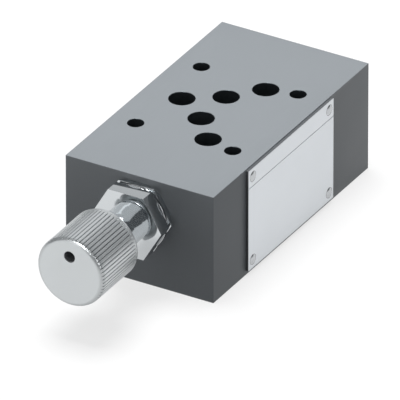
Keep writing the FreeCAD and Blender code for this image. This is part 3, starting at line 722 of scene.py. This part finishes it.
def make_housing():
    slot = "zinc_steel"
    head = prism("housing_head", hexagon_corners(HEX_FLATS), FRONT - 11.2 * MM, FRONT - 4.3 * MM, 0.12 * MM)
    head.materials.append(FINISHES[slot])
    stem = depths([(0, -36), (9.7, -36, 0.3), (9.7, -18.7, 0.25), (8.75, -18.7, 0.1), (8.75, -4.9, 0),
                   (8.0, -4.9, 0), (8.0, 6.3, 0.05), (6.65, 6.3, 0.05), (6.65, 7.7, 0.05), (8.0, 7.7, 0.05),
                   (8.0, 9.0, 0.2), (0, 9.0)])
    dense = with_rings(softened(stem), FRONT - 4.3 * MM, FRONT + 6.3 * MM, 0.125 * MM)
    screw = lathe("housing_stem", dense, steps=ROUND_STEPS)
    screw = threaded(screw, slot, 1.0 * MM, 8.0 * MM, FRONT - 3.2 * MM, FRONT + 6.2 * MM)
    bore = depths([(0, -37), (5.05, -37), (5.05, -22), (5.8, -22), (5.8, 10), (0, 10)])
    inside = lathe("housing_bore", bore, steps=96)
    inside.materials.append(FINISHES[slot])
    mesh = combined(head, [("UNION", screw), ("DIFFERENCE", inside)])
    return link_piece("housing_shell", mesh, "base", slot, ["spring_housing"])


def make_washer():
    outer = (WASHER_HIGH.x - WASHER_LOW.x) / 2
    inner = 8.3 * MM
    corners = [(inner, WASHER_LOW.y, 0.1 * MM), (outer, WASHER_LOW.y, 0.35 * MM),
               (outer, WASHER_HIGH.y, 0.35 * MM), (inner, WASHER_HIGH.y, 0.1 * MM)]
    mid = (inner, (WASHER_LOW.y + WASHER_HIGH.y) / 2)
    mesh = lathe("washer_ring", softened([mid, *corners, mid])[:-1], closed=True)
    return link_piece("washer_ring", mesh, "base", "washer_steel", ["sealing_washer"])


def make_knob():
    slot = "knob_aluminium"
    front = KNOB_LOW.y
    rear = KNOB_HIGH.y
    radius = KNOB_RADIUS
    outer = softened([(0, front), (radius, front, KNOB_ROUNDING), (radius, RIDGE_REAR)])[:-1]
    low = outer[-1].y
    high = RIDGE_REAR - RIDGE_TAPER
    for step in range(1, 7):
        outer.append(Vector((radius, low + (high - low) * step / 6)))
    for step in range(1, 7):
        outer.append(Vector((radius, high + RIDGE_TAPER * step / 6)))
    floor = FRONT - 42.5 * MM
    end = FRONT - 52.85 * MM
    inner = softened([(radius, RIDGE_REAR), (radius, rear, 0.35 * MM), (10.0 * MM, rear, 0.3 * MM),
                      (10.0 * MM, floor, 0.3 * MM), (4.05 * MM, floor, 0.3 * MM), (4.05 * MM, end, 0),
                      (0, end)])
    blank = lathe("knob_blank", outer + inner[1:], steps=720)
    values = {"Axis X": AXIS_X, "Axis Z": AXIS_Z, "Ridge Count": RIDGE_COUNT, "Valley Depth": VALLEY_DEPTH,
              "Outer Radius": radius, "Rear End": RIDGE_REAR, "Rear Taper": RIDGE_TAPER,
              "Material": FINISHES[slot]}
    body = grown(blank, RIDGES, values)
    hole = [(0, front - MM), (3.6 * MM, front - MM), (FACE_HOLE_RADIUS, front + 0.1 * MM),
            (FACE_HOLE_RADIUS, front + FACE_HOLE_DEPTH), (0, front + 9.4 * MM)]
    face_hole = lathe("face_hole", hole, steps=64, centre=Vector((AXIS_X, 0, AXIS_Z + FACE_HOLE_OFFSET)))
    face_hole.materials.append(FINISHES["drilled_aluminium"])
    middle = (SCREW_LOW.y + SCREW_HIGH.y) / 2
    drill = upright("grub_hole", [(0, -17 * MM), (2.55 * MM, -17 * MM), (2.55 * MM, 0), (0, 0)], 0, 0)
    drill.transform(Matrix.Translation((AXIS_X, middle, AXIS_Z)))
    drill.materials.append(FINISHES[slot])
    mesh = combined(body, [("DIFFERENCE", face_hole), ("DIFFERENCE", drill)])
    return link_piece("knob_grip", mesh, "knob_unit", slot, ["knob"], sharp_angle=40)


def make_grub_screw():
    slot = "black_steel"
    low = SCREW_LOW.z
    high = SCREW_HIGH.z
    radius = (SCREW_HIGH.x - SCREW_LOW.x) / 2
    points = [(0, low), (radius - 0.3 * MM, low), (radius, low + 0.3 * MM), (radius, high - 0.5 * MM),
              (radius - 0.5 * MM, high), (0, high)]
    body = upright("grub_blank", points, AXIS_X, (SCREW_LOW.y + SCREW_HIGH.y) / 2, FINISHES[slot])
    corners = [(x - AXIS_X, z - AXIS_Z) for x, z in hexagon_corners(2.5 * MM)]
    socket = prism("socket", corners, -MM, 2.6 * MM, 0)
    lift = Matrix.Translation((AXIS_X, (SCREW_LOW.y + SCREW_HIGH.y) / 2, low))
    socket.transform(lift @ Matrix.Rotation(math.radians(90), 4, "X"))
    socket.materials.append(FINISHES[slot])
    mesh = combined(body, [("DIFFERENCE", socket)])
    return link_piece("grub_screw", mesh, "knob_unit", slot, ["knob_grub_screw"])


def make_name_plate():
    slot = "plate_aluminium"
    body = plain_box("name_plate_sheet", PLATE_LOW, PLATE_HIGH, 0.12 * MM)
    body.materials.append(FINISHES[slot])
    body.materials.append(FINISHES["plate_edge"])
    for polygon in body.polygons:
        polygon.material_index = 0 if abs(polygon.normal.x) > 0.6 else 1
    line_top = PLATE_HIGH.z - PLATE_LINE_DROP
    low = Vector((PLATE_HIGH.x - PLATE_LINE_DEPTH, PLATE_LOW.y - MM, line_top - PLATE_LINE_WIDTH))
    high = Vector((PLATE_HIGH.x + MM, PLATE_HIGH.y + MM, line_top))
    steps = [("DIFFERENCE", plain_box("line", low, high))]
    # Each rivet hole also cuts a shallow groove round the rivet head, whose faces take the dark bore finish:
    # a painted shade ring round each head.
    for place in RIVET_PLACES:
        points = [(0, -3 * MM), (RIVET_HOLE_RADIUS, -3 * MM), (RIVET_HOLE_RADIUS, -0.12 * MM),
                  (2.42 * MM, -0.12 * MM), (2.5 * MM, MM), (0, MM)]
        hole = sideways(lathe("rivet_hole", points, steps=48, centre=Vector((0, 0, 0))), place)
        hole.materials.append(FINISHES["bore_iron"])
        steps.append(("DIFFERENCE", hole))
    mesh = combined(body, steps)
    return link_piece("name_plate_sheet", mesh, "base", slot, ["name_plate"])


def make_rivets():
    slot = "rivet_steel"
    radius = RIVET_RADIUS
    height = RIVETS_HIGH.x - PLATE_HIGH.x
    dome = (radius * radius + height * height) / (2 * height)
    sweep = math.asin(radius / dome)
    arc = [(dome * math.sin(sweep * step / 10), height - dome + dome * math.cos(sweep * step / 10))
           for step in range(11)]
    points = [*arc, (1.5 * MM, 0.0), (1.5 * MM, -5.8 * MM), (1.3 * MM, -6 * MM), (0, -6 * MM)]
    mesh = sideways(lathe("rivet", points, steps=48, centre=Vector((0, 0, 0))), Vector((0, 0, 0)))
    mesh = copied("rivet_heads", mesh, RIVET_PLACES, FINISHES[slot])
    return link_piece("rivet_heads", mesh, "base", slot, ["plate_rivets"])


def make_port_rings():
    slot = "seal_rubber"
    inner = PORT_RADIUS + 0.4 * MM
    outer = PORT_RADIUS + 2.35 * MM
    height = SEALS_HIGH.z
    mid = (inner, height / 2)
    section = softened([mid, (inner, 0, 0.6 * MM), (outer, 0, 0.6 * MM), (outer, height, 0.6 * MM),
                        (inner, height, 0.6 * MM), mid])[:-1]
    mesh = lathe("ring", section, steps=96, closed=True, centre=Vector((0, 0, 0)))
    mesh.transform(Matrix.Rotation(math.radians(90), 4, "X"))
    mesh = copied("port_rings", mesh, [Vector((port.x, port.y, 0)) for port in PORTS], FINISHES[slot])
    return link_piece("port_rings", mesh, "base", slot, ["port_o_rings"])


def dress_inner_nodes(replaced):
    """Give every node that keeps its own mesh the finish of its slot."""
    slots = {item["node"]: item["material_slot"] for item in frame["record"]["subparts"]}
    for name, node in nodes.items():
        if name not in replaced:
            node.data.materials.clear()
            node.data.materials.append(FINISHES[slots[name]])


make_block()
make_cartridge()
make_housing()
make_washer()
make_knob()
make_grub_screw()
make_name_plate()
make_rivets()
make_port_rings()
dress_inner_nodes(("valve_block", "cartridge_body", "spring_housing", "sealing_washer", "knob",
                   "knob_grub_screw", "name_plate", "plate_rivets", "port_o_rings"))


# Floor, light and camera

def make_floor():
    """A plain white sheet, just under the part so that the two undersides don't coincide."""
    shape = bmesh.new()
    bmesh.ops.create_grid(shape, x_segments=1, y_segments=1, size=6.0)
    bmesh.ops.translate(shape, verts=shape.verts, vec=(0.0, 0.0, -0.05 * MM))
    floor = bpy.data.objects.new("floor", to_mesh("floor", shape))
    bpy.context.scene.collection.objects.link(floor)
    paint = Finish("floor_paper", (0.12, 0.12, 0.12), 0.9)
    paint.shader.inputs["Emission Color"].default_value = (1.0, 1.0, 1.0, 1.0)
    paint.shader.inputs["Emission Strength"].default_value = 0.74
    floor.data.materials.append(paint.material)
    floor.visible_diffuse = False


def add_light(name, place, width, power, shines=True, mirrored=True):
    """A round panel aimed at the object. Some only shine on it, and some only show as reflections."""
    lamp = bpy.data.lights.new(name, "AREA")
    lamp.shape = "DISK"
    lamp.size = width
    lamp.energy = power
    holder = bpy.data.objects.new(name, lamp)
    holder.visible_diffuse = shines
    holder.visible_glossy = mirrored
    holder.location = place
    holder.rotation_euler = (-Vector(place)).to_track_quat("-Z", "Y").to_euler()
    bpy.context.scene.collection.objects.link(holder)


def make_camera():
    """A long lens from 30 degrees right of the front and 30 degrees up, as the photo has it."""
    lens = 1600.0
    sensor = 36.0
    frame_width = 164.77 * MM
    target = Vector((0.4 * MM, -14.65 * MM, 14.0 * MM))
    turn = math.radians(30)
    lift = math.radians(30)
    towards = Vector((math.sin(turn) * math.cos(lift), -math.cos(turn) * math.cos(lift), math.sin(lift)))
    camera = bpy.data.cameras.new("camera")
    camera.lens = lens
    camera.sensor_width = sensor
    camera.clip_start = 0.1
    camera.clip_end = 100.0
    holder = bpy.data.objects.new("camera", camera)
    holder.location = target + towards * (frame_width * lens / sensor)
    holder.rotation_euler = towards.to_track_quat("Z", "Y").to_euler()
    bpy.context.scene.collection.objects.link(holder)
    bpy.context.scene.camera = holder


def light_scene():
    world = bpy.data.worlds.new("studio")
    world.use_nodes = True
    world.node_tree.nodes["Background"].inputs["Color"].default_value = (0.92, 0.96, 1.0, 1.0)
    world.node_tree.nodes["Background"].inputs["Strength"].default_value = 0.18
    bpy.context.scene.world = world
    bpy.context.scene.view_settings.view_transform = "Standard"
    add_light("top_light", (-0.3, 0.2, 2.2), 1.5, 122.0, mirrored=False)
    add_light("right_light", (2.0, -0.4, 0.8), 1.0, 8.0)
    add_light("front_light", (-1.0, -1.8, 0.25), 2.0, 8.5)
    add_light("back_light", (0.5, 2.3, 0.4), 1.4, 8.0)
    add_light("front_panel", (-0.3, -2.2, 1.6), 2.6, 12.0, shines=False)
    add_light("back_panel", (-0.9, 2.0, 1.7), 2.2, 6.0, shines=False)
    add_light("glint", (0.16, -1.15, 1.98), 0.9, 45.0, shines=False)


make_floor()
light_scene()
make_camera()
